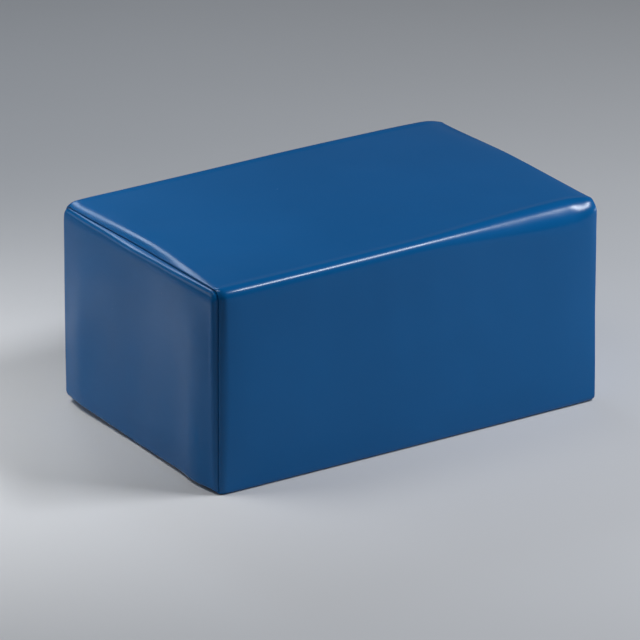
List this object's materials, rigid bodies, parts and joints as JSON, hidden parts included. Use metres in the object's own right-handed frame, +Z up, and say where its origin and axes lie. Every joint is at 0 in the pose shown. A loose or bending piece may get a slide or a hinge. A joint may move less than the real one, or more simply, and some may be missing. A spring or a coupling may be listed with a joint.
{
  "type": "vinyl covered foam block",
  "caption": "Rectangular gymnastics foam block in a sewn blue vinyl cover, with a zipper low on the back whose slider runs and whose pull tab turns.",
  "frame": {"origin": "centre of the underside, on the floor", "axes": "+X along the length towards the right end, -Y towards the long front face, +Z up"},
  "size_m": [0.61, 0.3996, 0.288],
  "materials": {
    "cover_vinyl": "smooth semi-gloss blue PVC-coated polyester",
    "firm_foam": "white closed-cell polyethylene foam",
    "soft_foam": "cream open-cell polyurethane foam",
    "zipper_tape": "woven navy polyester tape",
    "zipper_teeth": "moulded navy acetal",
    "slider_metal": "black enamelled zinc casting",
    "thread": "bonded blue polyester thread"
  },
  "bodies": {
    "block": {"foam_base_slab": "firm_foam", "foam_core_slab": "soft_foam", "foam_top_slab": "firm_foam", "cover_wrap_panel": "cover_vinyl", "left_end_panel": "cover_vinyl", "right_end_panel": "cover_vinyl", "left_end_seam_thread": "thread", "right_end_seam_thread": "thread", "zipper_upper_tape": "zipper_tape", "zipper_lower_tape": "zipper_tape", "zipper_upper_teeth": "zipper_teeth", "zipper_lower_teeth": "zipper_teeth", "zipper_upper_stitching": "thread", "zipper_lower_stitching": "thread", "zipper_bottom_stop": "zipper_teeth", "zipper_top_stops": "zipper_teeth"},
    "slider": {"slider_body": "slider_metal"},
    "pull": {"slider_pull": "slider_metal"}
  },
  "joints": [
    {"name": "slider_run", "type": "slide", "parent": "block", "child": "slider", "axis": [-1, 0, 0], "range_m": [0, 0.524], "deforming": ["zipper_upper_teeth", "zipper_lower_teeth"]},
    {"name": "pull_turn", "type": "hinge", "parent": "slider", "child": "pull", "pos_m": [0.262, 0.19985, 0.046], "axis": [0, 0, -1], "range_deg": [0, 180]}
  ]
}
